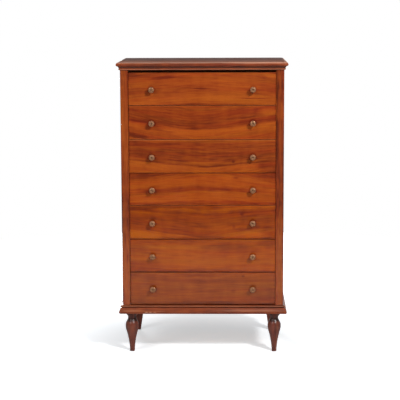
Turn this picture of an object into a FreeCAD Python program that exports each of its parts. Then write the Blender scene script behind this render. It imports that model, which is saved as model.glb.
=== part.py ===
import FreeCAD, Part
import os

# A semainier: a tall, narrow chest of seven drawers on turned front legs.
#
# Millimetres, +Z up.  X runs across the front, -Y is the front, and the origin
# is on the floor under the middle of the chest, knobs included.  Left and right
# are those of someone facing the drawers.  Drawer 1 is the top one.
#
# The case is a moulded base frame on four legs, two stiles and two side panels
# on the frame, and a moulded top on a cornice bead.  No rails part the drawers:
# each hangs by a groove in its sides on two wooden runners, so the fronts meet
# with a bare joint between them.

Vector = FreeCAD.Vector

# ---- Whole chest ----
CASE_WIDTH = 764.0
CASE_DEPTH = 472.0
TOTAL_HEIGHT = 1388.0
LEG_HEIGHT = 193.0
BASE_HEIGHT = 43.0
MOULDING_REACH = 18.0
KNOB_REACH = 25.0

# ---- Case timbers ----
STILE_WIDTH = 36.5
STILE_DEPTH = 40.0
STILE_ARRIS = 3.5
PANEL_THICKNESS = 20.0
BACK_THICKNESS = 6.0
BACK_REBATE = 10.0
BOTTOM_THICKNESS = 18.0
TOP_THICKNESS = 27.0
BEAD_THICKNESS = 9.0
BEAD_REACH = 6.5
TOP_RAIL_HEIGHT = 30.0
TOP_RAIL_WIDTH = 50.0
TOP_RAIL_SETBACK = 45.0
BLOCK_SIDE = 70.0

# ---- Legs ----
FRONT_LEG_INSET = 40.5
LEG_RADIUS = 31.3
NECK_RADIUS = 19.5
COLLAR_RADIUS = 27.5
COLLAR_THICKNESS = 9.0
SPIGOT_RADIUS = 11.0
SPIGOT_LENGTH = 22.0
SPIGOT_CLEARANCE = 0.1
BACK_LEG_INSET = 27.0
BACK_LEG_TOP = 56.0
BACK_LEG_FOOT = 26.0

# ---- Drawers ----
# From joint to joint, top to bottom: each front was fitted by hand to its place.
DRAWER_PITCHES = (153.5, 160.5, 157.0, 154.0, 161.5, 159.0, 156.0)
TOP_GAP = 12.25
FRONT_GAP = 2.5
FRONT_CLEARANCE = 1.5
FRONT_THICKNESS = 20.0
FRONT_RECESS = 1.0
FRONT_ARRIS = 1.2
SIDE_THICKNESS = 15.0
SIDE_HEIGHT = 124.0
SIDE_LIFT = 10.0
BOX_DEPTH = 428.5
BOTTOM_PANEL_THICKNESS = 5.0
BOTTOM_PANEL_LIFT = 8.0
BOTTOM_GROOVE_DEPTH = 5.0
DRAWER_BACK_THICKNESS = 12.0
DRAWER_BACK_INSET = 10.0
DRAWER_BACK_DROP = 4.0

# ---- Dovetails ----
TAIL_COUNT = 4
TAIL_LENGTH = 14.0
TAIL_WIDE = 22.0
TAIL_NARROW = 18.0

# ---- Runners ----
RUNNER_HEIGHT = 12.0
RUNNER_ENGAGEMENT = 5.5
RUNNER_SHORT_OF_BACK = 6.0
RUNNER_CLEARANCE = 0.5
RUNNER_PLAY = 0.3

# ---- Knobs ----
KNOB_SPACING = 473.0
KNOB_DROP = 3.5
KNOB_RADIUS = 13.8
KNOB_NECK_RADIUS = 5.5
KNOB_HEAD_THICKNESS = 10.0
KNOB_FLARE_THICKNESS = 4.0
KNOB_RIM_THICKNESS = 2.2
KNOB_LIP_RADIUS = 5.5
KNOB_DIMPLE_RADIUS = 3.6
KNOB_DIMPLE_DEPTH = 1.6
STUD_RADIUS = 2.5
STUD_LENGTH = 14.0
STUD_CLEARANCE = 0.1

# ---- Planes that follow from the sizes above ----
HALF_WIDTH = CASE_WIDTH / 2
FRONT_Y = (KNOB_REACH - CASE_DEPTH) / 2
BACK_Y = FRONT_Y + CASE_DEPTH
BASE_TOP = LEG_HEIGHT + BASE_HEIGHT
TOP_UNDERSIDE = TOTAL_HEIGHT - TOP_THICKNESS
CASE_TOP = TOP_UNDERSIDE - BEAD_THICKNESS
PANEL_INNER_X = HALF_WIDTH - PANEL_THICKNESS
STILE_INNER_X = HALF_WIDTH - STILE_WIDTH
STILE_BACK_Y = FRONT_Y + STILE_DEPTH
FRAME_INNER_Y = FRONT_Y + PANEL_THICKNESS
FRAME_BACK_Y = BACK_Y - PANEL_THICKNESS
BOTTOM_UNDERSIDE = BASE_TOP - BOTTOM_THICKNESS

FACE_Y = FRONT_Y + FRONT_RECESS
SHOULDER_Y = FACE_Y + FRONT_THICKNESS
BOX_BACK_Y = SHOULDER_Y + BOX_DEPTH
SIDE_OUTER_X = STILE_INNER_X - FRONT_CLEARANCE
SIDE_INNER_X = SIDE_OUTER_X - SIDE_THICKNESS
RUNNER_TIP_X = SIDE_OUTER_X - RUNNER_ENGAGEMENT
GROOVE_FLOOR_X = RUNNER_TIP_X - RUNNER_CLEARANCE
FIRST_JOINT_Z = CASE_TOP - TOP_GAP + FRONT_GAP / 2


# ---- Helpers ----
def block(low, high):
    """Rectangular solid between two opposite corners."""
    size = [b - a for a, b in zip(low, high)]
    return Part.makeBox(size[0], size[1], size[2], Vector(*low))


def mirrored(shape):
    """The same piece on the other side of the chest's middle plane."""
    return shape.mirror(Vector(0, 0, 0), Vector(1, 0, 0))


def closed_wire(start, steps, place):
    """Wire from flat coordinates; a step is a line's end, or an arc's middle and end."""
    edges = []
    here = start
    for step in steps + [start]:
        if isinstance(step[0], tuple):
            through, there = step
            edges.append(Part.Arc(place(*here), place(*through), place(*there)).toShape())
        else:
            there = step
            edges.append(Part.makeLine(place(*here), place(*there)))
        here = there
    return Part.Wire(edges)


def extruded(wire, direction):
    """Solid swept straight from a flat closed wire."""
    return Part.Face(wire).extrude(direction)


def turned(wire, centre, axis):
    """Solid of revolution from a flat closed wire that lies beside its axis."""
    return Part.Face(wire).revolve(centre, axis, 360)


# ---- Mouldings ----
# Profiles are (reach, height): reach is measured outwards from the case's faces,
# height upwards from the moulding's own underside.
def top_profile():
    """Edge of the top: a quirk, a thumbnail round and a cove under its nose."""
    start = (0.0, 0.0)
    steps = [
        (5.0, 0.0),
        (6.0, 2.0),
        ((9.6, 7.6), (15.5, 11.0)),
        ((18.0, 14.5), (17.0, 18.5)),
        ((12.4, 23.8), (3.5, 25.5)),
        (3.5, TOP_THICKNESS - 0.6),
        (2.5, TOP_THICKNESS),
        (0.0, TOP_THICKNESS),
    ]
    return start, steps


def bead_profile():
    """Cornice bead: a flat strip with a rounded edge."""
    round_start = BEAD_REACH - BEAD_THICKNESS / 2 + 1.0
    steps = [
        (round_start, 0.0),
        ((BEAD_REACH, BEAD_THICKNESS / 2), (round_start, BEAD_THICKNESS)),
        (0.0, BEAD_THICKNESS),
    ]
    return (0.0, 0.0), steps


def base_profile():
    """Base moulding: a bead over a quirk, a flare to the nose and a rounded underside."""
    steps = [
        (4.0, 0.0),
        ((14.0, 4.0), (MOULDING_REACH, 11.0)),
        (MOULDING_REACH, 14.5),
        ((11.5, 21.0), (7.0, 32.0)),
        (7.0, 34.0),
        (8.2, 35.0),
        ((9.5, 38.2), (7.0, 41.4)),
        (0.0, BASE_HEIGHT),
    ]
    return (0.0, 0.0), steps


def moulding_run(profile, base_z, height, backing):
    """The front, left and right lengths of a moulding, mitred at the front corners.

    backing is the thickness of plain wood behind the case's faces.
    """
    start, steps = profile
    reach = MOULDING_REACH
    if backing:
        steps = steps + [(-backing, steps[-1][1]), (-backing, start[1])]
    long_half = HALF_WIDTH + reach
    nose_y = FRONT_Y - reach
    inner = reach + backing

    def on_front(across, up):
        return Vector(-long_half, FRONT_Y - across, base_z + up)

    def on_right(across, up):
        return Vector(HALF_WIDTH + across, nose_y, base_z + up)

    front_bar = extruded(closed_wire(start, steps, on_front), Vector(2 * long_half, 0, 0))
    right_bar = extruded(closed_wire(start, steps, on_right), Vector(0, BACK_Y - nose_y, 0))

    front_plan = [
        (-long_half, nose_y),
        (long_half, nose_y),
        (long_half - inner, nose_y + inner),
        (-long_half + inner, nose_y + inner),
    ]
    right_plan = [
        (long_half, nose_y),
        (long_half, BACK_Y),
        (long_half - inner, BACK_Y),
        (long_half - inner, nose_y + inner),
    ]

    def flat(x, y):
        return Vector(x, y, base_z)

    def plan_prism(corners):
        return extruded(closed_wire(corners[0], corners[1:], flat), Vector(0, 0, height))

    front = front_bar.common(plan_prism(front_plan))
    right = right_bar.common(plan_prism(right_plan))
    return front, mirrored(right), right


def top_board():
    """Solid top, moulded on its front and sides and square at the back."""
    start, steps = top_profile()
    half_steps = steps + [(-HALF_WIDTH, TOP_THICKNESS), (-HALF_WIDTH, 0.0)]
    depth_steps = steps + [(-CASE_DEPTH, TOP_THICKNESS), (-CASE_DEPTH, 0.0)]
    nose_y = FRONT_Y - MOULDING_REACH
    long_half = HALF_WIDTH + MOULDING_REACH

    def on_right(across, up):
        return Vector(HALF_WIDTH + across, nose_y, TOP_UNDERSIDE + up)

    def on_front(across, up):
        return Vector(-long_half, FRONT_Y - across, TOP_UNDERSIDE + up)

    right_half = extruded(closed_wire(start, half_steps, on_right), Vector(0, BACK_Y - nose_y, 0))
    across_width = right_half.fuse(mirrored(right_half)).removeSplitter()
    along_depth = extruded(closed_wire(start, depth_steps, on_front), Vector(2 * long_half, 0, 0))
    return across_width.common(along_depth)


# ---- Case ----
def stile():
    """Right front post, its outer front arris rounded."""
    post = block((STILE_INNER_X, FRONT_Y, BASE_TOP), (HALF_WIDTH, STILE_BACK_Y, CASE_TOP))
    arris = [
        edge
        for edge in post.Edges
        if edge.BoundBox.XMin > HALF_WIDTH - 1
        and edge.BoundBox.YMax < FRONT_Y + 1
        and edge.BoundBox.ZLength > 1
    ]
    return post.makeFillet(STILE_ARRIS, arris)


def side_panel():
    """Right side panel, rebated along its back edge for the back panel."""
    panel = block((PANEL_INNER_X, STILE_BACK_Y, BASE_TOP), (HALF_WIDTH, BACK_Y, CASE_TOP))
    rebate = block(
        (PANEL_INNER_X, BACK_Y - BACK_THICKNESS, BASE_TOP),
        (PANEL_INNER_X + BACK_REBATE, BACK_Y, TOP_UNDERSIDE - TOP_RAIL_HEIGHT),
    )
    return panel.cut(rebate)


def back_panel():
    """Thin panel between the rebates, from the base frame to the back top rail."""
    half = PANEL_INNER_X + BACK_REBATE
    top = TOP_UNDERSIDE - TOP_RAIL_HEIGHT
    return block((-half, BACK_Y - BACK_THICKNESS, BASE_TOP), (half, BACK_Y, top))


def top_rail(front_y):
    """Rail between the side panels that the top is screwed to."""
    low = TOP_UNDERSIDE - TOP_RAIL_HEIGHT
    return block(
        (-PANEL_INNER_X, front_y, low),
        (PANEL_INNER_X, front_y + TOP_RAIL_WIDTH, TOP_UNDERSIDE),
    )


def base_frame():
    """Front, back, left and right rails of the frame that the legs carry."""
    front = block((-HALF_WIDTH, FRONT_Y, LEG_HEIGHT), (HALF_WIDTH, FRAME_INNER_Y, BASE_TOP))
    back = block((-PANEL_INNER_X, FRAME_BACK_Y, LEG_HEIGHT), (PANEL_INNER_X, BACK_Y, BASE_TOP))
    right = block((PANEL_INNER_X, FRAME_INNER_Y, LEG_HEIGHT), (HALF_WIDTH, BACK_Y, BASE_TOP))
    return [front, back, mirrored(right), right]


def bottom_board():
    """Board let in between the base rails, flush with their top."""
    return block(
        (-PANEL_INNER_X, FRAME_INNER_Y, BOTTOM_UNDERSIDE),
        (PANEL_INNER_X, FRAME_BACK_Y, BASE_TOP),
    )


def front_leg_centre():
    return HALF_WIDTH - FRONT_LEG_INSET, FRONT_Y + FRONT_LEG_INSET + 0.5


def leg_blocks():
    """Glued blocks in the base frame's corners; the front ones take the leg spigots."""
    low_x = PANEL_INNER_X - BLOCK_SIDE
    centre_x, centre_y = front_leg_centre()
    hole = Part.makeCylinder(
        SPIGOT_RADIUS + SPIGOT_CLEARANCE,
        SPIGOT_LENGTH + SPIGOT_CLEARANCE,
        Vector(centre_x, centre_y, LEG_HEIGHT),
    )
    front = block(
        (low_x, FRAME_INNER_Y, LEG_HEIGHT),
        (PANEL_INNER_X, FRAME_INNER_Y + BLOCK_SIDE, BOTTOM_UNDERSIDE),
    ).cut(hole)
    back = block(
        (low_x, FRAME_BACK_Y - BLOCK_SIDE, LEG_HEIGHT),
        (PANEL_INNER_X, FRAME_BACK_Y, BOTTOM_UNDERSIDE),
    )
    return [mirrored(front), front, mirrored(back), back]


def front_leg():
    """Right front leg: turned foot, long flare, shoulder, neck and collar, with its spigot."""
    centre_x, centre_y = front_leg_centre()

    def place(radius, height):
        return Vector(centre_x + radius, centre_y, height)

    steps = [
        (11.8, 0.0),
        (13.0, 22.0),
        (15.6, 48.0),
        (20.6, 76.0),
        (27.2, 102.0),
        (LEG_RADIUS, 122.0),
        (LEG_RADIUS, 134.0),
        (27.8, 149.0),
        (NECK_RADIUS, 164.0),
        (NECK_RADIUS, 170.0),
        (COLLAR_RADIUS - 1.5, LEG_HEIGHT - COLLAR_THICKNESS - 3.0),
        (COLLAR_RADIUS, LEG_HEIGHT - COLLAR_THICKNESS),
        (COLLAR_RADIUS, LEG_HEIGHT),
        (SPIGOT_RADIUS, LEG_HEIGHT),
        (SPIGOT_RADIUS, LEG_HEIGHT + SPIGOT_LENGTH),
        (0.0, LEG_HEIGHT + SPIGOT_LENGTH),
    ]
    return turned(closed_wire((0.0, 0.0), steps, place), place(0, 0), Vector(0, 0, 1))


def back_leg():
    """Right back leg: square, its outer and back faces upright, the others tapered."""
    outer_x = HALF_WIDTH - BACK_LEG_INSET

    def tapered_slab(edge, place, sweep):
        corners = [(edge, LEG_HEIGHT), (edge - BACK_LEG_TOP, LEG_HEIGHT), (edge - BACK_LEG_FOOT, 0.0)]
        return extruded(closed_wire((edge, 0.0), corners, place), sweep)

    def on_back(x, z):
        return Vector(x, BACK_Y - BACK_LEG_TOP, z)

    def on_side(y, z):
        return Vector(outer_x - BACK_LEG_TOP, y, z)

    seen_from_front = tapered_slab(outer_x, on_back, Vector(0, BACK_LEG_TOP, 0))
    seen_from_side = tapered_slab(BACK_Y, on_side, Vector(BACK_LEG_TOP, 0, 0))
    return seen_from_front.common(seen_from_side)


# ---- Drawers ----
def drawer_spans():
    """Lower and upper edge of each drawer front, top drawer first."""
    spans = []
    joint = FIRST_JOINT_Z
    for pitch in DRAWER_PITCHES:
        spans.append((joint - pitch + FRONT_GAP / 2, joint - FRONT_GAP / 2))
        joint -= pitch
    return spans


def drawer_side(side_low):
    """Right drawer side: dovetailed at the front, grooved outside for its runner."""
    side_high = side_low + SIDE_HEIGHT
    tail_tip_y = SHOULDER_Y - TAIL_LENGTH
    cell = SIDE_HEIGHT / TAIL_COUNT
    corners = [(BOX_BACK_Y, side_low), (SHOULDER_Y, side_low)]
    for number in range(TAIL_COUNT):
        middle = side_low + cell * (number + 0.5)
        corners += [
            (SHOULDER_Y, middle - TAIL_NARROW / 2),
            (tail_tip_y, middle - TAIL_WIDE / 2),
            (tail_tip_y, middle + TAIL_WIDE / 2),
            (SHOULDER_Y, middle + TAIL_NARROW / 2),
        ]
    corners += [(SHOULDER_Y, side_high), (BOX_BACK_Y, side_high)]

    def place(y, z):
        return Vector(SIDE_INNER_X, y, z)

    board = extruded(
        closed_wire(corners[0], corners[1:], place), Vector(SIDE_THICKNESS, 0, 0)
    )
    middle = side_low + SIDE_HEIGHT / 2
    half_groove = RUNNER_HEIGHT / 2 + RUNNER_PLAY
    runner_groove = block(
        (GROOVE_FLOOR_X, STILE_BACK_Y - RUNNER_CLEARANCE, middle - half_groove),
        (SIDE_OUTER_X, BOX_BACK_Y, middle + half_groove),
    )
    groove_low = side_low + BOTTOM_PANEL_LIFT
    bottom_groove = block(
        (SIDE_INNER_X, SHOULDER_Y - BOTTOM_GROOVE_DEPTH, groove_low),
        (SIDE_INNER_X + BOTTOM_GROOVE_DEPTH, BOX_BACK_Y, groove_low + BOTTOM_PANEL_THICKNESS),
    )
    housing_back = BOX_BACK_Y - DRAWER_BACK_INSET
    back_housing = block(
        (SIDE_INNER_X, housing_back - DRAWER_BACK_THICKNESS, groove_low),
        (SIDE_INNER_X + BOTTOM_GROOVE_DEPTH, housing_back, side_high),
    )
    return board.cut(runner_groove.fuse(bottom_groove).fuse(back_housing))


def drawer_bottom(side_low):
    """Thin panel in grooves of the sides and front, run under the drawer's back."""
    half = SIDE_INNER_X + BOTTOM_GROOVE_DEPTH
    low = side_low + BOTTOM_PANEL_LIFT
    return block(
        (-half, SHOULDER_Y - BOTTOM_GROOVE_DEPTH, low),
        (half, BOX_BACK_Y - DRAWER_BACK_INSET, low + BOTTOM_PANEL_THICKNESS),
    )


def drawer_back(side_low):
    """Back of the drawer, housed in the sides and standing on the bottom panel."""
    half = SIDE_INNER_X + BOTTOM_GROOVE_DEPTH
    low = side_low + BOTTOM_PANEL_LIFT + BOTTOM_PANEL_THICKNESS
    back_y = BOX_BACK_Y - DRAWER_BACK_INSET
    return block(
        (-half, back_y - DRAWER_BACK_THICKNESS, low),
        (half, back_y, side_low + SIDE_HEIGHT - DRAWER_BACK_DROP),
    )


def drawer_front(low, high, joined):
    """Front with eased face arrises, cut for the pieces that are joined into it."""
    board = block((-SIDE_OUTER_X, FACE_Y, low), (SIDE_OUTER_X, SHOULDER_Y, high))
    face_edges = [edge for edge in board.Edges if edge.BoundBox.YMax < FACE_Y + 1]
    board = board.makeChamfer(FRONT_ARRIS, face_edges)
    for piece in joined:
        board = board.cut(piece)
    middle = (low + high) / 2
    hole_radius = STUD_RADIUS + STUD_CLEARANCE
    hole_depth = STUD_LENGTH + STUD_CLEARANCE
    for side in (-1, 1):
        mouth = Vector(side * KNOB_SPACING / 2, FACE_Y, middle - KNOB_DROP)
        board = board.cut(Part.makeCylinder(hole_radius, hole_depth, mouth, Vector(0, 1, 0)))
    return board


def knob(centre_x, centre_z):
    """Turned brass knob: a stud for the front, a neck and a domed head with a dimple."""
    reach = KNOB_REACH + FRONT_RECESS
    head_start = reach - KNOB_HEAD_THICKNESS
    rim_start = head_start + KNOB_FLARE_THICKNESS

    def place(radius, out):
        return Vector(centre_x + radius, FACE_Y - out, centre_z)

    steps = [
        (STUD_RADIUS, -STUD_LENGTH),
        (STUD_RADIUS, 0.0),
        (KNOB_NECK_RADIUS, 0.0),
        (KNOB_NECK_RADIUS, head_start),
        (KNOB_RADIUS, rim_start),
        (KNOB_RADIUS, rim_start + KNOB_RIM_THICKNESS),
        (KNOB_RADIUS - 1.4, reach - 2.4),
        (KNOB_RADIUS - 4.2, reach - 0.8),
        (KNOB_LIP_RADIUS, reach),
        (KNOB_DIMPLE_RADIUS, reach - KNOB_DIMPLE_DEPTH),
        (0.0, reach - KNOB_DIMPLE_DEPTH),
    ]
    outline = closed_wire((0.0, -STUD_LENGTH), steps, place)
    return turned(outline, place(0, 0), Vector(0, 1, 0))


def drawer_pieces(low, high):
    """The six nodes of one drawer, by the end of their names."""
    side_low = low + SIDE_LIFT
    right_side = drawer_side(side_low)
    left_side = mirrored(right_side)
    bottom = drawer_bottom(side_low)
    middle = (low + high) / 2
    return {
        "front": [drawer_front(low, high, [left_side, right_side, bottom])],
        "left_side": [left_side],
        "right_side": [right_side],
        "back": [drawer_back(side_low)],
        "bottom": [bottom],
        "knobs": [knob(side * KNOB_SPACING / 2, middle - KNOB_DROP) for side in (-1, 1)],
    }


def drawer_runners(spans):
    """A pair of hardwood runners per drawer, on the side panels' inner faces."""
    runners = []
    for low, _ in spans:
        middle = low + SIDE_LIFT + SIDE_HEIGHT / 2
        right = block(
            (RUNNER_TIP_X, STILE_BACK_Y, middle - RUNNER_HEIGHT / 2),
            (
                PANEL_INNER_X,
                BACK_Y - BACK_THICKNESS - RUNNER_SHORT_OF_BACK,
                middle + RUNNER_HEIGHT / 2,
            ),
        )
        runners += [mirrored(right), right]
    return runners


# ---- Assembly ----
def all_nodes():
    """Every node's name with the list of its solids."""
    spans = drawer_spans()
    nodes = {
        "top_board": [top_board()],
        "cornice_bead": moulding_run(bead_profile(), CASE_TOP, BEAD_THICKNESS, PANEL_THICKNESS),
        "left_stile": [mirrored(stile())],
        "right_stile": [stile()],
        "left_side_panel": [mirrored(side_panel())],
        "right_side_panel": [side_panel()],
        "back_panel": [back_panel()],
        "front_top_rail": [top_rail(FRONT_Y + TOP_RAIL_SETBACK)],
        "back_top_rail": [top_rail(BACK_Y - TOP_RAIL_WIDTH)],
        "drawer_runners": drawer_runners(spans),
        "bottom_board": [bottom_board()],
        "base_frame": base_frame(),
        "base_moulding": moulding_run(base_profile(), LEG_HEIGHT, BASE_HEIGHT, 0.0),
        "leg_blocks": leg_blocks(),
        "front_left_leg": [mirrored(front_leg())],
        "front_right_leg": [front_leg()],
        "back_left_leg": [mirrored(back_leg())],
        "back_right_leg": [back_leg()],
    }
    for number, (low, high) in enumerate(spans, start=1):
        for ending, solids in drawer_pieces(low, high).items():
            nodes[f"drawer_{number}_{ending}"] = solids
    return nodes


def main():
    os.makedirs("parts", exist_ok=True)
    for name, solids in all_nodes().items():
        shape = solids[0] if len(solids) == 1 else Part.makeCompound(list(solids))
        shape.exportStep(os.path.join("parts", name + ".step"))


main()
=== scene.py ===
from math import radians

import bpy
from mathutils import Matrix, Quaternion, Vector


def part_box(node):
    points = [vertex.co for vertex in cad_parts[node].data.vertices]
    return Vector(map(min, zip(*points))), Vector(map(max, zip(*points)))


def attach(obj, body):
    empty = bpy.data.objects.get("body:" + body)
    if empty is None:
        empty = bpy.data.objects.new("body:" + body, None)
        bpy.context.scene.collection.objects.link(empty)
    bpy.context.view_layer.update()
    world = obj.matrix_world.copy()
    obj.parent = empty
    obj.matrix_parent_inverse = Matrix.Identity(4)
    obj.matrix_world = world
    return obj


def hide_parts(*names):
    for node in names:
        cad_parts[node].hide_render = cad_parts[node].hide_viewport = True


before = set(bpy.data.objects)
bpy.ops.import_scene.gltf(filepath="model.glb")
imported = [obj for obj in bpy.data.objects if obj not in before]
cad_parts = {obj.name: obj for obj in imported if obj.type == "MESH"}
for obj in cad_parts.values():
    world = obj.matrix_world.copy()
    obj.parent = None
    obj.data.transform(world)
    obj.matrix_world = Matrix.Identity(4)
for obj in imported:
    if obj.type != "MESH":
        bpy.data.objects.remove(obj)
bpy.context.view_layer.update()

# A semainier in polished red-brown hardwood: seven veneered drawers, a moulded top
# and base, turned front legs and small brass knobs. All is in metres, but profiles and
# the figure of the wood are written in millimetres and turned to metres by MM.

MM = 0.001
DRAWERS = range(1, 8)

CASE_HALF_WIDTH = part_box("right_stile")[1].x
FRONT_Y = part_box("base_frame")[0].y
BACK_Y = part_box("back_panel")[1].y
LEG_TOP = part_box("base_frame")[0].z
CASE_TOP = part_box("right_stile")[1].z
TOP_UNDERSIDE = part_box("top_board")[0].z
FRONT_HALF_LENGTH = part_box("drawer_1_front")[1].x
KNOB_OFFSET = 0.2365  # from the middle of the front
KNOB_DROP = 0.0035  # below the middle of the front


# ---- Camera and lamps ----
LENS_MM = 117.0
SENSOR_MM = 36.0
CAMERA_PLACE = (0.1224, -6.2725, 1.670)
CAMERA_TURNS = (-8.72, 1.27, -0.22)  # pitch, yaw and roll in degrees
# name, place, point it is aimed at, side in metres, power in watts
SOFTBOXES = (
    ("key_softbox", (2.9, -4.1, 4.15), (0, -0.2, 0.75), 0.8, 245),
    ("fill_softbox", (-3.0, -3.9, 3.3), (0, -0.2, 0.75), 2.2, 103),
    ("back_softbox", (-0.9, 3.2, 1.0), (0, 0.2, 0.6), 0.7, 40),
)


def place_camera():
    """Camera at standing eye height, six metres in front of the chest."""
    data = bpy.data.cameras.new("camera")
    data.lens = LENS_MM
    data.sensor_width = SENSOR_MM
    camera = bpy.data.objects.new("camera", data)
    bpy.context.scene.collection.objects.link(camera)
    camera.location = CAMERA_PLACE
    pitch, yaw, roll = (radians(turn) for turn in CAMERA_TURNS)
    level = Quaternion((1, 0, 0), radians(90) + pitch)
    camera.rotation_mode = "QUATERNION"
    camera.rotation_quaternion = (
        Quaternion((0, 0, 1), yaw) @ level @ Quaternion((0, 0, 1), roll)
    )
    bpy.context.scene.camera = camera


def softbox(name, place, target, size, power):
    """Square area light aimed at a point."""
    data = bpy.data.lights.new(name, "AREA")
    data.shape = "SQUARE"
    data.size = size
    data.energy = power
    lamp = bpy.data.objects.new(name, data)
    bpy.context.scene.collection.objects.link(lamp)
    lamp.location = place
    aim = Vector(target) - Vector(place)
    lamp.rotation_mode = "QUATERNION"
    lamp.rotation_quaternion = aim.to_track_quat("-Z", "Y")


# ---- Node trees ----
class Bench:
    """A node tree at work: its calls add nodes, wire them and give back their output."""

    def __init__(self, tree):
        self.tree = tree

    def node(self, kind, sockets=(), **settings):
        """A node; sockets holds a value, or the output to wire in, for each input."""
        made = self.tree.nodes.new(kind)
        for name, value in settings.items():
            setattr(made, name, value)
        for name, value in dict(sockets).items():
            if isinstance(value, bpy.types.NodeSocket):
                self.link(value, made.inputs[name])
            else:
                made.inputs[name].default_value = value
        return made

    def math(self, operation, *values):
        return self.node("ShaderNodeMath", enumerate(values), operation=operation).outputs[0]

    def vector_math(self, operation, first, second):
        sockets = {0: first, 1: second}
        return self.node("ShaderNodeVectorMath", sockets, operation=operation).outputs[0]

    def noise(self, vector, spots, detail=2.0):
        """Smooth noise with its own number of spots to the metre on each axis."""
        stretched = self.vector_math("MULTIPLY", vector, spots)
        sockets = {"Vector": stretched, "Scale": 1.0, "Detail": detail}
        return self.node("ShaderNodeTexNoise", sockets).outputs[0]

    def smooth(self, value, low, high, start=0.0, end=1.0):
        """Soft step of a value from low to high."""
        sockets = {
            "Value": value,
            "From Min": low,
            "From Max": high,
            "To Min": start,
            "To Max": end,
        }
        made = self.node("ShaderNodeMapRange", sockets, interpolation_type="SMOOTHSTEP")
        return made.outputs["Result"]

    def ramp(self, factor, stops):
        made = self.node("ShaderNodeValToRGB", {"Fac": factor})
        elements = made.color_ramp.elements
        while len(elements) < len(stops):
            elements.new(0.5)
        for element, (position, value) in zip(elements, stops):
            element.position = position
            element.color = value
        return made.outputs["Color"]

    def mix(self, factor, first, second):
        """Colour between two; 6 and 7 are the mix node's colour inputs, 2 its output."""
        sockets = {"Factor": factor, 6: first, 7: second}
        return self.node("ShaderNodeMix", sockets, data_type="RGBA").outputs[2]

    def use(self, group, **sockets):
        """A shader node group with its inputs given by name."""
        named = {name.replace("_", " "): value for name, value in sockets.items()}
        return self.node("ShaderNodeGroup", named, node_tree=group).outputs

    def link(self, source, target):
        self.tree.links.new(source, target)

    def centred_noise(self, vector, spots, detail):
        """Smooth noise about 0."""
        return self.math("SUBTRACT", self.noise(vector, spots, detail), 0.5)

    def sum_of_squares(self, first, second):
        return self.math("MULTIPLY_ADD", first, first, self.math("MULTIPLY", second, second))


def colour(red, green, blue):
    """Linear colour from screen values of 0 to 255."""
    linear = []
    for value in (red, green, blue):
        share = value / 255
        linear.append(share / 12.92 if share <= 0.04045 else ((share + 0.055) / 1.055) ** 2.4)
    return (*linear, 1.0)


def grey(value):
    """Linear grey."""
    return (value, value, value, 1.0)


def new_group(name, inputs, outputs):
    """Empty node group; inputs and outputs are (name, socket kind, default).

    Gives the group, its bench, the inputs to read and the outputs to feed.
    """
    tree = bpy.data.node_groups.new(name, "ShaderNodeTree")
    for way, sockets in (("INPUT", inputs), ("OUTPUT", outputs)):
        for label, kind, value in sockets:
            socket = tree.interface.new_socket(
                label, in_out=way, socket_type="NodeSocket" + kind
            )
            if value is not None:
                socket.default_value = value
    bench = Bench(tree)
    return tree, bench, bench.node("NodeGroupInput").outputs, bench.node("NodeGroupOutput").inputs


def straight_grain_group():
    """Follows curved grain: its vector runs straight where the wood's lines bow.

    The line through height 0 is Rise * (hypot(x - Centre, Width) - Width), so Rise
    is the slope it ends on, and Opening changes Rise with height.
    """
    tree, bench, given, result = new_group(
        "straight_grain",
        [
            ("Vector", "Vector", None),
            ("Centre", "Float", 0.0),
            ("Rise", "Float", 0.0),
            ("Opening", "Float", 0.0),
            ("Width", "Float", 0.08),
            ("Slope", "Float", 0.0),
            ("Wander", "Float", 0.004),
        ],
        [("Vector", "Vector", None), ("Across", "Float", None)],
    )
    axes = bench.node("ShaderNodeSeparateXYZ", {0: given["Vector"]}).outputs
    along = bench.math("SUBTRACT", axes["X"], given["Centre"])
    squares = bench.sum_of_squares(along, given["Width"])
    bow = bench.math("SUBTRACT", bench.math("SQRT", squares), given["Width"])
    rise = bench.math("MULTIPLY_ADD", axes["Z"], given["Opening"], given["Rise"])
    lifted = bench.math("MULTIPLY_ADD", bow, rise, bench.math("MULTIPLY", along, given["Slope"]))
    drift = bench.centred_noise(given["Vector"], (3.5, 3.5, 9.0), 3.0)
    level = bench.math("SUBTRACT", axes["Z"], lifted)
    across = bench.math("MULTIPLY_ADD", drift, given["Wander"], level)
    straight = bench.node("ShaderNodeCombineXYZ", {0: axes["X"], 1: axes["Y"], 2: across})
    bench.link(straight.outputs[0], result["Vector"])
    bench.link(across, result["Across"])
    return tree


# Layers of a wood's tone: (weight, spots to the metre along, through and across the grain).
WOOD_LAYERS = (
    (0.5, (2.2, 6.0, 24.0)),  # broad bands
    (0.6, (5.0, 14.0, 70.0)),  # streaks
    (0.9, (14.0, 30.0, 160.0)),  # growth lines
    (0.5, (24.0, 10.0, 9.0)),  # mottle across the grain
)
FIBRE_SPOTS = (14.0, 240.0, 900.0)
VESSEL_SPOTS = (70.0, 900.0, 2300.0)
RED_STREAK_SPOTS = (1.3, 5.0, 44.0)
FIBRE_TONE = 0.4


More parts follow.
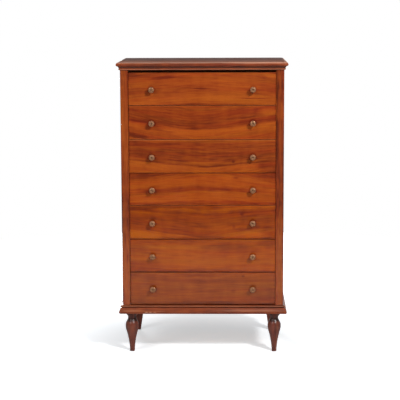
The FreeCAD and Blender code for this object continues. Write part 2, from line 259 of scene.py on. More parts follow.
def wood_texture_group():
    """Grain of wood that lies along X.

    Tone is its light and dark about 0: broad bands, streaks, growth lines and mottle,
    weighed by Contrast. Fibres and Pores are its fine relief, Hue its redder streaks.
    """
    tree, bench, given, result = new_group(
        "wood_texture",
        [("Vector", "Vector", None), ("Contrast", "Float", 1.0)],
        [(name, "Float", None) for name in ("Tone", "Fibres", "Pores", "Hue")],
    )
    vector = given["Vector"]
    fibres = bench.noise(vector, FIBRE_SPOTS)
    layers = [(weight, bench.noise(vector, spots)) for weight, spots in WOOD_LAYERS]
    tone = 0.0
    for weight, layer in (*layers, (FIBRE_TONE, fibres)):
        step = bench.math("MULTIPLY_ADD", layer, weight, -weight / 2)
        tone = bench.math("ADD", tone, step)
    vessels = bench.noise(vector, VESSEL_SPOTS, 1.0)
    for name, value in (
        ("Tone", bench.math("MULTIPLY", tone, given["Contrast"])),
        ("Fibres", fibres),
        ("Pores", bench.smooth(vessels, 0.58, 0.74)),
        ("Hue", bench.noise(vector, RED_STREAK_SPOTS)),
    ):
        bench.link(value, result[name])
    return tree


def figure_patch_group():
    """Soft oval spot or streak of figure, with ragged ends along the grain."""
    tree, bench, given, result = new_group(
        "figure_patch",
        [
            ("Vector", "Vector", None),
            ("Place", "Vector", None),
            ("Half Length", "Float", 0.05),
            ("Half Height", "Float", 0.01),
            ("Tilt", "Float", 0.0),
        ],
        [("Mask", "Float", None)],
    )
    offset = bench.vector_math("SUBTRACT", given["Vector"], given["Place"])
    axes = bench.node("ShaderNodeSeparateXYZ", {0: offset}).outputs
    height = bench.math("SUBTRACT", axes["Z"], bench.math("MULTIPLY", axes["X"], given["Tilt"]))
    along = bench.math("DIVIDE", axes["X"], given["Half Length"])
    up = bench.math("DIVIDE", height, given["Half Height"])
    ragged = bench.centred_noise(given["Vector"], (9.0, 9.0, 60.0), 2.0)
    radius = bench.math("SQRT", bench.sum_of_squares(along, up))
    radius = bench.math("MULTIPLY_ADD", ragged, 1.2, radius)
    bench.link(bench.smooth(radius, 0.35, 1.25, 1.0, 0.0), result["Mask"])
    return tree


KNOB_HALO = (0.010, 0.026)  # full within the first radius, gone past the second
# how far in from each end of a front the painted shade reaches
ENDS_SHADE_REACH = 0.010
EDGE_REACH = 0.0035


def front_masks_group():
    """Masks on a drawer front: a darker halo round its knobs, painted shade at its two ends by the
    stiles, and its top and bottom edges, which carry painted highlights on some fronts and painted
    shade on others.
    """
    tree, bench, given, result = new_group(
        "front_masks",
        [
            ("Vector", "Vector", None),
            ("Half Length", "Float", FRONT_HALF_LENGTH),
            ("Half Height", "Float", 0.077),
        ],
        [(name, "Float", None) for name in ("Halo", "Ends", "Top Edge", "Bottom Edge")],
    )
    axes = bench.node("ShaderNodeSeparateXYZ", {0: given["Vector"]}).outputs
    aside = bench.math("ABSOLUTE", axes["X"])
    from_knob = bench.math("SUBTRACT", aside, KNOB_OFFSET)
    above = bench.math("ADD", axes["Z"], KNOB_DROP)
    smudge = bench.centred_noise(given["Vector"], (45.0, 45.0, 45.0), 2.0)
    radius = bench.math("SQRT", bench.sum_of_squares(from_knob, above))
    radius = bench.math("MULTIPLY_ADD", smudge, 0.012, radius)
    bench.link(bench.smooth(radius, *KNOB_HALO, 1.0, 0.0), result["Halo"])
    # Ends: painted shade along each end of the front, beside the stile.
    inset = bench.math("SUBTRACT", given["Half Length"], aside)
    bench.link(bench.smooth(inset, 0.0, ENDS_SHADE_REACH, 1.0, 0.0), result["Ends"])
    ragged = bench.centred_noise(given["Vector"], (12.0, 12.0, 12.0), 3.0)
    for name, side in (("Top Edge", -1.0), ("Bottom Edge", 1.0)):
        depth = bench.math("MULTIPLY_ADD", axes["Z"], side, given["Half Height"])
        depth = bench.math("MULTIPLY_ADD", ragged, 0.006, depth)
        bench.link(bench.smooth(depth, 0.0, EDGE_REACH, 1.0, 0.0), result[name])
    return tree


def uneven_polish_group():
    """Uneven polish: broad dull clouds with finer handling marks."""
    tree, bench, given, result = new_group(
        "uneven_polish", [("Vector", "Vector", None)], [("Mask", "Float", None)]
    )
    clouds = bench.noise(given["Vector"], (5.0, 5.0, 5.0), 4.0)
    marks = bench.noise(given["Vector"], (38.0, 38.0, 60.0), 3.0)
    both = bench.math("MULTIPLY_ADD", marks, 0.4, bench.math("MULTIPLY", clouds, 0.6))
    bench.link(bench.smooth(both, 0.35, 0.65), result["Mask"])
    return tree


STRAIGHT_GRAIN = straight_grain_group()
WOOD_TEXTURE = wood_texture_group()
FIGURE_PATCH = figure_patch_group()
FRONT_MASKS = front_masks_group()
UNEVEN_POLISH = uneven_polish_group()


def new_material(name):
    """Material with an empty tree; gives the material and its bench."""
    material = bpy.data.materials.new(name)
    material.use_nodes = True
    material.node_tree.nodes.clear()
    return material, Bench(material.node_tree)


def lay_grain(bench, lift, turn):
    """Object coordinates turned so that the grain lies along X, then lifted along Z."""
    place = bench.node("ShaderNodeTexCoord").outputs["Object"]
    sockets = {"Vector": place, "Location": (0.0, 0.0, lift), "Rotation": turn}
    return bench.node("ShaderNodeMapping", sockets, vector_type="POINT").outputs[0]


TINT_TONES = (0.0, 0.4, 0.7, 1.0)  # the tone at which each of a wood's four tints stands
PLAIN_HUE = 0.488  # 0.5 leaves a tint as it is, and less turns it redder
RED_STREAK_SWING = 0.024
PORE_DARKNESS = 0.45
DULL_SWING = 0.08
GRAIN_RELIEF = 0.35


def tint_wood(bench, tone, tints, texture, hue=PLAIN_HUE, fullness=1.0):
    """Colour of wood from its tone: four tints light to dark, dark pores, redder streaks."""
    stops = [(position, colour(*tint)) for position, tint in zip(TINT_TONES, tints)]
    tint = bench.ramp(tone, stops)
    hue = bench.math("MULTIPLY_ADD", texture["Hue"], RED_STREAK_SWING, hue)
    tint = bench.node(
        "ShaderNodeHueSaturation", {"Hue": hue, "Saturation": fullness, "Color": tint}
    ).outputs[0]
    share = bench.math("MULTIPLY", texture["Pores"], PORE_DARKNESS)
    return bench.mix(share, tint, stops[-1][1])


def finish_wood(bench, tint, vector, texture, polish):
    """Principled shader for wood: polish is (roughness, specular level, grain depth)."""
    roughness, specular, depth = polish
    dull = bench.use(UNEVEN_POLISH, Vector=vector)["Mask"]
    rough = bench.math("MULTIPLY_ADD", dull, DULL_SWING, roughness - DULL_SWING / 2)
    relief = bench.math(
        "MULTIPLY_ADD", texture["Pores"], -1.0, bench.math("MULTIPLY", texture["Fibres"], 0.5)
    )
    bump = bench.node(
        "ShaderNodeBump", {"Strength": GRAIN_RELIEF, "Distance": depth, "Height": relief}
    ).outputs[0]
    shader = bench.node(
        "ShaderNodeBsdfPrincipled",
        {"Base Color": tint, "Roughness": rough, "Specular IOR Level": specular, "Normal": bump},
    )
    bench.node("ShaderNodeOutputMaterial", {"Surface": shader.outputs[0]})


def add_patches(bench, tone, laid, patches):
    """Tone with each patch (x, z, half length, half height, tilt, added tone) added."""
    for x, z, half_length, half_height, tilt, added in patches:
        mask = bench.use(
            FIGURE_PATCH,
            Vector=laid,
            Place=(x * MM, 0.0, z * MM),
            Half_Length=half_length * MM,
            Half_Height=half_height * MM,
            Tilt=tilt,
        )["Mask"]
        tone = bench.math("MULTIPLY_ADD", mask, added, tone)
    return tone


# How the grain of a board runs: turns that lay it along X.
ALONG_X = (0.0, 0.0, 0.0)
ALONG_Y = (0.0, 0.0, radians(90))
UPRIGHT = (0.0, radians(90), 0.0)
UPRIGHT_ON_SIDE = (radians(90), 0.0, radians(90))
FLAT_ALONG_X = (radians(90), 0.0, 0.0)

# Finishes: roughness, specular level, depth of the grain in metres.
POLISHED = (0.22, 0.5, 0.00002)
WAXED = (0.34, 0.4, 0.00002)
WORN = (0.55, 0.5, 0.0002)
FADED = (0.6, 0.08, 0.0001)
RAW = (0.75, 0.3, 0.0004)

MIDDLE_TONE = 0.45
LIVELY = 1.2
QUIET = 1.0


def wood(
    name, tints, turn, lift=0.0, polish=POLISHED, contrast=LIVELY, bow=0.0, patches=(), lightening=None
):
    """Wood of four tints, light to dark, with its grain turned as told.

    lift takes the board from another part of the tree, and bow is the slope that its
    curved grain ends on. patches are (x, z, half length, half height, tilt, added tone)
    in millimetres on the turned wood. lightening is spots of the same form, ending in the
    share of the way to a paler tint, and that tint, for painted highlights, worn spots and the
    top's browner margin.
    """
    material, bench = new_material(name)
    laid = lay_grain(bench, lift, turn)
    grain = bench.use(STRAIGHT_GRAIN, Vector=laid, Rise=bow, Width=0.15, Wander=0.012)
    texture = bench.use(WOOD_TEXTURE, Vector=grain["Vector"], Contrast=contrast)
    tone = bench.math("ADD", texture["Tone"], MIDDLE_TONE)
    tone = add_patches(bench, tone, laid, patches)
    tint = tint_wood(bench, tone, tints, texture)
    if lightening:
        spots, bare = lightening
        tint = bench.mix(add_patches(bench, 0.0, laid, spots), tint, colour(*bare))
    finish_wood(bench, tint, laid, texture, polish)
    return material


RED_BROWN = ((180, 85, 15), (163, 71, 13), (141, 56, 12), (112, 40, 11))
STILE_BROWN = ((169, 82, 30), (153, 69, 24), (131, 53, 22), (95, 37, 18))
MOULDING_BROWN = ((158, 76, 34), (138, 60, 25), (116, 48, 20), (84, 35, 16))
LEG_BROWN = ((134, 70, 48), (112, 56, 40), (90, 42, 32), (60, 30, 22))
# The top's tints are darker than the case's other wood: painted shade for a top that gets little
# light.
TOP_BROWN_SHADED = ((112, 66, 48), (96, 54, 40), (80, 44, 33), (58, 33, 26))
LINING = ((218, 172, 124), (202, 151, 102), (182, 129, 84), (152, 101, 62))
PLYWOOD = ((210, 166, 122), (194, 146, 102), (174, 126, 86), (144, 98, 64))
BACKING = ((180, 132, 94), (160, 112, 78), (140, 94, 63), (110, 73, 49))
HARDWOOD = ((186, 140, 92), (166, 120, 76), (146, 102, 62), (112, 76, 46))

# Spots of figure, worn spots, painted shade and painted highlights, here and below, are
# (x, z, half length, half height, tilt, added tone or share) in millimetres. An upright's
# grain is laid with x upwards and z towards the left end of the chest.
LEFT_STILE_FIGURE_AND_SHADE = (
    (1070, 364, 170, 60, 0.0, -0.33),
    (665, 364, 130, 60, 0.0, 0.26),
    (400, 364, 150, 60, 0.0, -0.14),
    # The last two are painted shade: a dark line along the stile's inner edge, by the drawers, and
    # one along its outer arris.
    (900, 348, 560, 6, 0.0, 0.12),
    (720, 380.5, 300, 5.5, 0.0, 0.3),
)
RIGHT_STILE_FIGURE_AND_SHADE = (
    (1290, -364, 90, 60, 0.0, 0.25),
    (990, -364, 190, 60, 0.0, 0.22),
    (735, -364, 95, 60, 0.0, 0.22),
    (430, -364, 215, 60, 0.0, -0.24),
    # The last two are painted shade: a dark line along the stile's inner edge, by the drawers, and
    # one along its outer arris.
    (950, -349, 560, 8, 0.0, 0.18),
    (560, -380.5, 400, 4.5, 0.0, 0.4),
)
ALL_ALONG = 4000
# Painted shade in the grooves of the mouldings, and their crests made pale, with that pale tint.
TOP_GROOVE_SHADE = ((0, 1364.0, ALL_ALONG, 3.4, 0.0, 0.8),)
# Painted highlights on the top's rounded shoulder, stronger to the right, and on the cornice
# bead's crest.
TOP_HIGHLIGHTS = (
    (
        (0, 1386.0, ALL_ALONG, 3.6, 0.0, 0.55),
        (300, 1386.5, 240, 5.4, 0.0, 0.6),
        (0, 1355.0, ALL_ALONG, 2.4, 0.0, 0.4),
    ),
    (206, 140, 108),
)
# Painted shade in the base's quirk and in the joint above its bead.
BASE_GROOVE_SHADE = ((0, 226.0, ALL_ALONG, 2.6, 0.0, 0.5), (0, 236.0, ALL_ALONG, 2.0, 0.0, 0.5))
# On the base: worn pale spots on the left of its nose, and painted highlights on the nose to the
# right and along the upper bead.
BASE_WEAR_AND_HIGHLIGHTS = (
    (
        (-268, 204, 10, 3.0, 0.0, 0.8),
        (-250, 204, 9, 3.0, 0.0, 0.7),
        (-229, 204, 9, 2.5, 0.0, 0.5),
        (-205, 208, 30, 1.5, 0.0, 0.2),
        (230, 212, 170, 6.0, 0.0, 0.2),
        (0, 231, ALL_ALONG, 3.2, 0.0, 0.22),
        (-350, 209, 60, 4.0, 0.0, 0.15),
    ),
    (214, 156, 122),
)
# Painted shade in the neck of a turned leg and under its collar, below the base.
LEG_NECK_SHADE = ((156.5, 0, 7.5, ALL_ALONG, 0.0, 0.7), (177, 0, 24, ALL_ALONG, 0.0, 0.2))
# The front of the top, where hands have kept the finish brown: z is the depth here.
MARGIN_RUBBED = (((0, FRONT_Y / MM, ALL_ALONG, 200, 0.0, 0.55),), (164, 101, 72))


# ---- Veneer of the drawer fronts ----
# field: centre in millimetres, rise, opening for each millimetre, and slope of the
#   curved grain, as straight_grain takes them.
# bands: (height above the middle in millimetres, tone) along that grain; tone 0 is the
#   lightest wood, 1 the darkest.
# patches: (x, z, half length, half height, tilt, added tone), from the middle.
# contrast: how lively the wood is. hue: how yellow (more) or red (less).
# fullness: how strong its colour is.
# edges: how strong the painted highlight along the top and the bottom edge is, or, below 0, the
# painted shade in the joint there.
VENEERS = (
    {
        "field": (20, -0.06, 0.0, 0.0),
        "bands": ((-80, 0.6), (-72, 0.85), (-69, 0.75), (-63, 0.3), (-45, 0.16), (-22, 0.26),
                  (0, 0.42), (20, 0.38), (40, 0.30), (60, 0.34), (78, 0.45)),
        "contrast": 1.0,
        "hue": 0.4873,
        "fullness": 0.989,
        "edges": (0.0, 0.25),
        "patches": (
            (10, 1, 60, 3.2, -0.04, 0.75),
            (210, -44, 90, 2.6, -0.03, 0.55),
            (-330, 0, 90, 70, 0.0, 0.15),
            (-190, 53, 70, 10, 0.06, 0.45),
            (-320, 62, 50, 14, 0.0, 0.35),
            # A painted highlight: the light spot at the upper right.
            (318, 62, 40, 12, -0.15, -0.35),
            (110, -38, 70, 8, 0.0, -0.25),
            (-150, 40, 130, 50, 0.0, 0.16),
            (310, 0, 60, 90, 0.0, 0.16),
        ),
    },
    {
        "field": (-40, 0.165, 0.0, -0.03),
        "bands": ((-84, 0.5), (-68, 0.36), (-58, 0.16), (-41, 0.10), (-35, 0.55), (-29, 0.78),
                  (0, 0.72), (30, 0.68), (55, 0.58), (75, 0.52)),
        "contrast": 1.0,
        "hue": 0.487,
        "fullness": 0.993,
        "edges": (0.45, 0.6),
        "patches": (
            (-310, -60, 60, 14, -0.25, 0.4),
            (-180, -38, 60, 5, -0.12, 0.4),
            (310, 50, 55, 18, 0.0, -0.4),
            (-245, -18, 110, 20, -0.3, 0.42),
            (150, -64, 120, 14, 0.0, -0.2),
            (140, 8, 70, 14, 0.1, -0.15),
        ),
    },
    {
        "field": (30, 0.10, -0.0009, 0.0),
        "bands": ((-80, 0.3), (-72, 0.25), (-57, 0.2), (-53, 0.5), (-49, 0.8), (-40, 0.62),
                  (-30, 0.7), (0, 0.68), (30, 0.66), (48, 0.7), (54, 0.78), (62, 0.6),
                  (78, 0.58)),
        "contrast": 1.0,
        "hue": 0.4885,
        "fullness": 0.992,
        "edges": (0.75, 0.1),
        "patches": (
            (15, -30, 100, 5.5, 0.0, -0.5),
            (-300, -16, 70, 18, -0.15, -0.35),
            (-65, -60, 60, 13, 0.0, 0.2),
            (320, -10, 45, 18, 0.0, -0.25),
            (145, -24, 9, 8, 0.0, 0.5),
            (325, -50, 75, 48, 0.0, 0.5),
        ),
    },
    {
        "field": (20, -0.09, -0.0009, 0.0),
        "bands": ((-80, 0.55), (-68, 0.72), (-58, 0.6), (-52, 0.2), (-40, 0.2), (-25, 0.26),
                  (-12, 0.36), (-4, 0.55), (3, 0.72), (11, 0.6), (19, 0.34), (35, 0.26),
                  (60, 0.22), (76, 0.34), (88, 0.62)),
        "contrast": 1.0,
        "hue": 0.486,
        "fullness": 0.9975,
        "edges": (0.0, 0.25),
        "patches": (
            (158, 54, 14, 5, 0.0, 0.4),
            (-325, -14, 80, 12, 0.0, -0.4),
            (325, -12, 80, 12, 0.0, -0.4),
            (-290, 54, 120, 24, 0.12, 0.3),
            (-110, 62, 120, 14, 0.05, 0.25),
            (305, 55, 90, 24, -0.1, 0.25),
            (-240, -60, 80, 13, 0.0, -0.25),
        ),
    },
    {
        "field": (20, 0.13, -0.0009, 0.0),
        "bands": ((-88, 0.22), (-78, 0.26), (-72, 0.55), (-62, 0.62), (-45, 0.58), (-20, 0.62),
                  (0, 0.68), (20, 0.72), (26, 0.5), (32, 0.66), (41, 0.8), (50, 0.6),
                  (58, 0.46), (70, 0.48), (82, 0.62)),
        "contrast": 1.0,
        "hue": 0.489,
        "fullness": 1.01,
        "edges": (0.4, -0.4),
        "patches": (
            (0, -74, 420, 7, 0.0, 0.4),
            (-290, 68, 120, 14, 0.0, 0.35),
            (-120, 74, 200, 4, 0.0, 0.4),
            (185, 36, 12, 9, 0.0, 0.3),
            (148, -22, 10, 9, 0.0, 0.35),
            (200, -54, 70, 9, 0.0, -0.35),
            (318, -50, 45, 32, 0.0, 0.3),
            (130, -15, 130, 34, 0.0, -0.12),
            (270, 62, 60, 14, 0.0, -0.15),
            (-270, -58, 80, 15, -0.08, -0.35),
        ),
    },
    {
        "field": (60, 0.03, 0.0, 0.0),
        "bands": ((-80, 0.4), (-60, 0.28), (-40, 0.22), (-20, 0.20), (0, 0.3), (30, 0.34),
                  (50, 0.42), (70, 0.5)),
        "contrast": 0.85,
        "hue": 0.489,
        "fullness": 1.01,
        "edges": (-0.4, -0.5),
        "patches": (
            (130, 30, 150, 30, 0.0, 0.34),
            (-310, 10, 60, 60, 0.0, 0.2),
            (-280, -42, 110, 34, 0.0, 0.34),
            (-100, 66, 170, 14, 0.0, 0.16),
            (0, -74, 420, 8, 0.0, 0.3),
            (-120, 25, 90, 22, 0.0, -0.15),
            (25, 12, 30, 2, 0.0, -0.4),
            (300, 55, 60, 18, 0.0, 0.3),
        ),
    },
    {
        "field": (0, 0.03, 0.0, 0.0),
        "bands": ((-80, 0.66), (-55, 0.62), (-30, 0.58), (0, 0.62), (18, 0.62), (26, 0.7),
                  (34, 0.7), (42, 0.62), (60, 0.55), (78, 0.54)),
        "contrast": 0.7,
        "hue": 0.4925,
        "fullness": 1.005,
        "edges": (-0.7, 0.3),
        "patches": (
            (0, -72, 420, 9, 0.0, 0.3),
            (192, 58, 8, 6, 0.0, 0.4),
            (145, -15, 14, 10, 0.0, 0.2),
            (-310, 62, 60, 12, 0.0, 0.15),
            (-280, 34, 80, 12, 0.0, -0.15),
            (310, -40, 80, 50, 0.0, 0.2),
        ),
    },
)
VENEER_SPAN = 90  # the bands lie this far above and below the middle
VENEER_LEAF = 3.7  # one front's veneer lies this far from the next in the tree
HALO_TONE = 0.32
ENDS_SHADE_TONE = 0.2
# Tints of the painted highlight and the painted shade along the fronts' top and bottom edges.
EDGE_HIGHLIGHT = colour(206, 112, 62)
EDGE_SHADE = colour(62, 26, 14)


def veneer(number):
    """Figured veneer of one drawer front, centred on it."""
    figure = VENEERS[number - 1]
    low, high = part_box(f"drawer_{number}_front")
    material, bench = new_material(f"drawer_{number}_veneer")
    laid = lay_grain(bench, -(low.z + high.z) / 2, ALONG_X)
    centre, rise, opening, slope = figure["field"]
    grain = bench.use(
        STRAIGHT_GRAIN,
        Vector=laid,
        Centre=centre * MM,
        Rise=rise,
        Opening=opening / MM,
        Slope=slope,
        Wander=0.010,
    )
    leaf = bench.vector_math("ADD", grain["Vector"], (0.0, 0.0, number * VENEER_LEAF))
    texture = bench.use(WOOD_TEXTURE, Vector=leaf, Contrast=figure["contrast"])
    stops = [
        ((height + VENEER_SPAN) / (2 * VENEER_SPAN), grey(tone))
        for height, tone in figure["bands"]
    ]
    place = bench.math("MULTIPLY_ADD", grain["Across"], 1 / (2 * VENEER_SPAN * MM), 0.5)
    tone = bench.math("ADD", bench.ramp(place, stops), texture["Tone"])
    tone = add_patches(bench, tone, laid, figure["patches"])
    masks = bench.use(FRONT_MASKS, Vector=laid, Half_Height=(high.z - low.z) / 2)
    tone = bench.math("MULTIPLY_ADD", masks["Halo"], HALO_TONE, tone)
    # Painted shade at both ends of the front, beside the stiles.
    tone = bench.math("MULTIPLY_ADD", masks["Ends"], ENDS_SHADE_TONE, tone)
    tint = tint_wood(bench, tone, RED_BROWN, texture, figure["hue"], figure["fullness"])
    # Painted highlight along an edge where its share is above 0, painted shade in the joint where
    # it is below.
    for edge, lightening in zip(("Top Edge", "Bottom Edge"), figure["edges"]):
        share = bench.math("MULTIPLY", masks[edge], abs(lightening))
        tint = bench.mix(share, tint, EDGE_HIGHLIGHT if lightening > 0 else EDGE_SHADE)
    finish_wood(bench, tint, laid, texture, POLISHED)
    return material


# ---- Brass, floor and room ----
# Tints of the brass by the share of patina.
BRASS = ((0.0, (190, 140, 102)), (0.5, (166, 117, 82)), (1.0, (124, 82, 54)))
BRASS_HOLLOW = (96, 62, 42)
HOLLOW_RADII = (0.003, 0.0065)
HOLLOW_SHARE = 0.7


def aged_brass():
    """Brass gone brown and dull in spots, and dark in the hollow of the knob's head."""
    material, bench = new_material("aged_brass")
    place = bench.node("ShaderNodeTexCoord").outputs["Object"]
    patina = bench.noise(place, (190.0, 190.0, 190.0), 4.0)
    stops = [(position, colour(*tint)) for position, tint in BRASS]
    tint = bench.ramp(bench.smooth(patina, 0.3, 0.7), stops)
    from_axis = bench.node("ShaderNodeAttribute", attribute_name="from_axis").outputs["Fac"]
    hollow = bench.smooth(from_axis, *HOLLOW_RADII, HOLLOW_SHARE, 0.0)
    tint = bench.mix(hollow, tint, colour(*BRASS_HOLLOW))
    rough = bench.math("MULTIPLY_ADD", patina, 0.25, 0.36)
    bump = bench.node("ShaderNodeBump", {"Strength": 0.2, "Distance": 0.0002, "Height": patina})
    shader = bench.node(
        "ShaderNodeBsdfPrincipled",
        {"Base Color": tint, "Metallic": 0.6, "Roughness": rough, "Normal": bump.outputs[0]},
    )
    bench.node("ShaderNodeOutputMaterial", {"Surface": shader.outputs[0]})
    return material


FLOOR_RADIUS = 3.1
FLOOR_SIDES = 96
FLOOR_PAPER = grey(0.8)
FLOOR_SEEN = (0.95, 0.98, 1.0, 1.0)
FLOOR_GLOW = (0.93, 0.97, 1.0, 1.0)
SHADE_RADII = (0.25, 1.0)
SHADE_LIFT = 0.42  # how much the floor glows in the shade under the chest
ROOM = grey(0.06)
ROOM_MIRRORED = grey(0.08)


def pale_floor():
    """Pale floor: white to the camera, less the shade that the chest throws about it.

    It also glows for the camera, fully beyond the outer of SHADE_RADII.
    """
    material, bench = new_material("pale_floor")
    rays = bench.node("ShaderNodeLightPath").outputs
    place = bench.node("ShaderNodeTexCoord").outputs["Object"]
    length = bench.node("ShaderNodeVectorMath", {0: place}, operation="LENGTH")
    from_chest = length.outputs["Value"]
    seen = bench.math("MAXIMUM", rays["Is Camera Ray"], rays["Is Transmission Ray"])
    white = bench.mix(seen, FLOOR_PAPER, FLOOR_SEEN)
    paper = bench.node("ShaderNodeBsdfDiffuse", {"Color": white}).outputs[0]
    lift = bench.math("MULTIPLY", seen, bench.smooth(from_chest, *SHADE_RADII, SHADE_LIFT, 1.0))
    glow = bench.node("ShaderNodeEmission", {"Color": FLOOR_GLOW, "Strength": lift}).outputs[0]
    both = bench.node("ShaderNodeAddShader", {0: paper, 1: glow}).outputs[0]
    bench.node("ShaderNodeOutputMaterial", {"Surface": both})
    return material


def lay_floor():
    """Round floor under the chest."""
    bpy.ops.object.select_all(action="DESELECT")
    bpy.ops.mesh.primitive_circle_add(
        vertices=FLOOR_SIDES, radius=FLOOR_RADIUS, fill_type="NGON"
    )
    floor = bpy.context.object
    floor.name = "floor"
    floor.data.materials.append(pale_floor())


def light_the_room():
    """White behind the chest, a dim room for what it reflects and is lit by."""
    world = bpy.data.worlds.new("studio")
    world.use_nodes = True
    world.node_tree.nodes.clear()
    bpy.context.scene.world = world
    bench = Bench(world.node_tree)
    rays = bench.node("ShaderNodeLightPath").outputs
    mirrored = bench.math("MAXIMUM", rays["Is Glossy Ray"], rays["Is Transmission Ray"])
    facing = bench.node("ShaderNodeTexCoord").outputs["Generated"]
    ahead = bench.node("ShaderNodeSeparateXYZ", {0: facing}).outputs["Y"]
    behind = bench.math("MULTIPLY", mirrored, bench.smooth(ahead, 0.0, 0.4))
    seen = bench.math("MAXIMUM", rays["Is Camera Ray"], behind)
    room = bench.mix(mirrored, ROOM, ROOM_MIRRORED)
    light = bench.mix(seen, room, grey(1.0))
    sky = bench.node("ShaderNodeBackground", {"Color": light, "Strength": 1.0}).outputs[0]
    bench.node("ShaderNodeOutputWorld", {"Surface": sky})


# ---- Modelling ----
SAME_POINT = 1e-6
SAME_CAD_POINT = 1e-5
SAME_PLANE = radians(0.5)
SHARP = radians(30)
MOULDING_CREASE = radians(30)
TURNED_CREASE = radians(35)
EASED_CREASE = radians(40)
EASE_STEPS = 2


def pick(piece):
    """Makes one piece the only one selected, and active."""
    bpy.ops.object.select_all(action="DESELECT")
    piece.select_set(True)
    bpy.context.view_layer.objects.active = piece


def settle(piece, body, nodes, materials):
    """Puts a finished piece's place in its mesh, and gives it finish, body and nodes."""
    pick(piece)
    bpy.ops.object.transform_apply(location=True, rotation=True, scale=True)
    piece.data.materials.clear()
    for material in materials:
        piece.data.materials.append(material)
    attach(piece, body)
    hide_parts(*nodes)


def mend(piece):
    """Merges doubled corners and turns every face outwards."""
    pick(piece)
    bpy.ops.object.mode_set(mode="EDIT")
    bpy.ops.mesh.select_all(action="SELECT")
    bpy.ops.mesh.remove_doubles(threshold=SAME_POINT)
    bpy.ops.mesh.normals_make_consistent(inside=False)
    bpy.ops.object.mode_set(mode="OBJECT")


def crease(piece, angle):
    """Smooth shading, with a crease where the surface turns by more than an angle."""
    pick(piece)
    bpy.ops.object.shade_smooth_by_angle(angle=angle)


def ease_edges(piece, width):
    """Rounds the sharp edges as sandpaper does, and smooths the shading between them."""
    pick(piece)
    bevel = piece.modifiers.new("eased", "BEVEL")
    bevel.width = width
    bevel.segments = EASE_STEPS
    bevel.limit_method = "ANGLE"
    bevel.angle_limit = SHARP
    bpy.ops.object.modifier_apply(modifier="eased")
    crease(piece, EASED_CREASE)
    flat = piece.modifiers.new("flat_faces", "WEIGHTED_NORMAL")
    flat.keep_sharp = True
    bpy.ops.object.modifier_apply(modifier="flat_faces")


def eased_copy(node, width):
    """The CAD node's shape, its loose triangles merged to flat faces and its edges eased."""
    piece = bpy.data.objects.new(node + "_eased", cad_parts[node].data.copy())
    bpy.context.scene.collection.objects.link(piece)
    pick(piece)
    bpy.ops.object.mode_set(mode="EDIT")
    bpy.ops.mesh.select_all(action="SELECT")
    bpy.ops.mesh.remove_doubles(threshold=SAME_CAD_POINT)
    bpy.ops.mesh.dissolve_limited(angle_limit=SAME_PLANE)
    bpy.ops.object.mode_set(mode="OBJECT")
    bpy.ops.mesh.customdata_custom_splitnormals_clear()
    ease_edges(piece, width)
    return piece


def profile_points(start, steps, pieces=6):
    """Points along a profile; a step is a line's end, or an arc's middle and end."""
    points = [Vector(start)]
    for step in steps:
        if not isinstance(step[0], tuple):
            points.append(Vector(step))
            continue
        first, middle, last = points[-1], Vector(step[0]), Vector(step[1])
        lean = middle - first.lerp(last, 0.5)
        for number in range(1, pieces + 1):
            share = number / pieces
            points.append(first.lerp(last, share) + lean * (1 - (2 * share - 1) ** 2))
    return points


def turned(name, centre, axis, points, sides):
    """Turns a piece: a disc drawn out along its axis, ring by ring.

    points are (radius, distance along the axis) in millimetres.
    """
    tilt = Vector((0, 0, 1)).rotation_difference(axis).to_euler()
    radius, along = points[0]
    bpy.ops.object.select_all(action="DESELECT")
    bpy.ops.mesh.primitive_circle_add(
        vertices=sides,
        radius=radius * MM,
        fill_type="NGON",
        location=centre + axis * along * MM,
        rotation=tilt,
    )
    piece = bpy.context.object
    piece.name = name
    bpy.ops.object.mode_set(mode="EDIT")
    bpy.ops.mesh.select_all(action="SELECT")
    for next_radius, next_along in points[1:]:
        move = axis * (next_along - along) * MM
        bpy.ops.mesh.extrude_region_move(TRANSFORM_OT_translate={"value": move})
        bpy.ops.transform.resize(
            value=(next_radius / radius,) * 3, center_override=centre + axis * next_along * MM
        )
        radius, along = next_radius, next_along
    bpy.ops.object.mode_set(mode="OBJECT")
    mend(piece)
    crease(piece, TURNED_CREASE)
    return piece


def drawn_up(name, low, high, base_z, points, still, edges):
    """A flat underside drawn up through the points of a moulding's profile.

    low and high are the underside's corners, still is the plan point that stays put,
    and edges says how many moulded edges face along x and along y.
    """
    reach, height = points[0]
    size = [high[axis] - low[axis] for axis in (0, 1)]
    middle = [(low[axis] + high[axis]) / 2 for axis in (0, 1)]
    bpy.ops.object.select_all(action="DESELECT")
    bpy.ops.mesh.primitive_plane_add(size=1, location=(*middle, base_z + height * MM))
    piece = bpy.context.object
    piece.name = name
    bpy.ops.object.mode_set(mode="EDIT")
    bpy.ops.mesh.select_all(action="SELECT")
    bpy.ops.transform.resize(value=(*size, 1))
    for next_reach, next_height in points[1:]:
        bpy.ops.mesh.extrude_region_move(
            TRANSFORM_OT_translate={"value": (0, 0, (next_height - height) * MM)}
        )
        growth = (next_reach - reach) * MM
        grown = [length + count * growth for length, count in zip(size, edges)]
        bpy.ops.transform.resize(
            value=(grown[0] / size[0], grown[1] / size[1], 1),
            center_override=(*still, base_z + next_height * MM),
        )
        reach, height, size = next_reach, next_height, grown
    bpy.ops.object.mode_set(mode="OBJECT")
    mend(piece)
    return piece


def mitre(piece, corner, normal):
    """Saws off what lies beyond the upright plane through a corner, and closes the cut."""
    pick(piece)
    bpy.ops.object.mode_set(mode="EDIT")
    bpy.ops.mesh.select_all(action="SELECT")
    bpy.ops.mesh.bisect(
        plane_co=(*corner, 0), plane_no=(*normal, 0), use_fill=True, clear_outer=True
    )
    bpy.ops.object.mode_set(mode="OBJECT")


